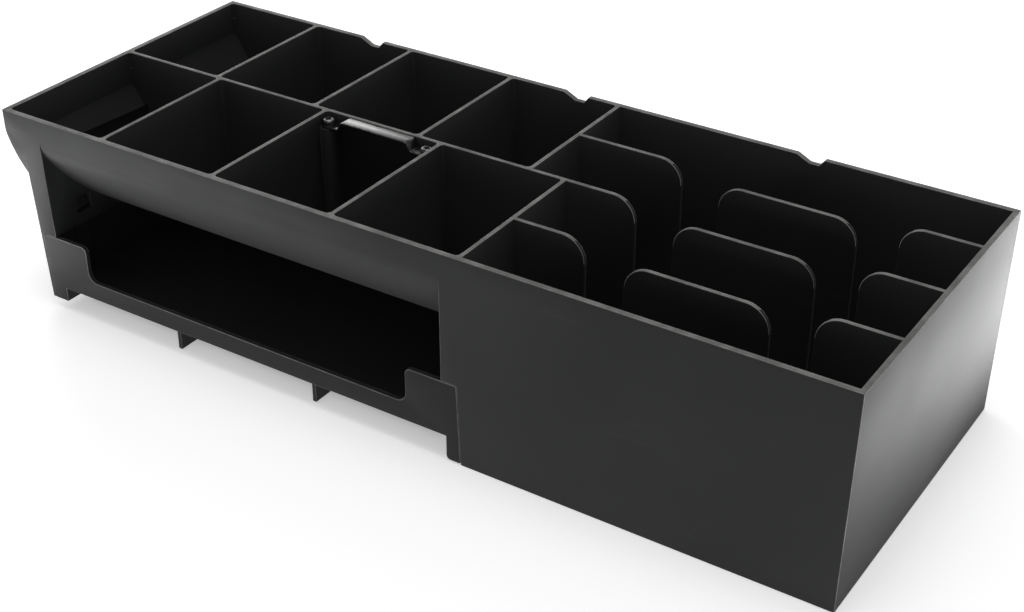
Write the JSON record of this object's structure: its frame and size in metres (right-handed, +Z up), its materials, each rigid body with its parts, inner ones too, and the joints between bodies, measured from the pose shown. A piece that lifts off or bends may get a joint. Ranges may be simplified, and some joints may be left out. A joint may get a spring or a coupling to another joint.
{
  "type": "cash drawer coin tray",
  "caption": "Black moulded cash drawer insert: coin cells with receding fronts, an upright note box with rounded fins, a snap-in storage tray below and a steel lift strap.",
  "frame": {"origin": "middle of the footprint on the surface the tray stands on", "axes": "+X along the long side towards the note box, +Y towards the rear wall, +Z up"},
  "size_m": [0.415, 0.1564, 0.0975],
  "materials": {
    "body_plastic": "fine satin black moulded plastic, slightly worn at the rim",
    "tray_plastic": "fine satin black moulded plastic",
    "handle_steel": "bright bent steel strap",
    "screw_steel": "dark zinc plated screw"
  },
  "bodies": {
    "root": {"till_body": "body_plastic", "storage_tray": "tray_plastic", "lift_handle": "handle_steel", "handle_screw_left": "screw_steel", "handle_screw_right": "screw_steel"}
  },
  "joints": []
}
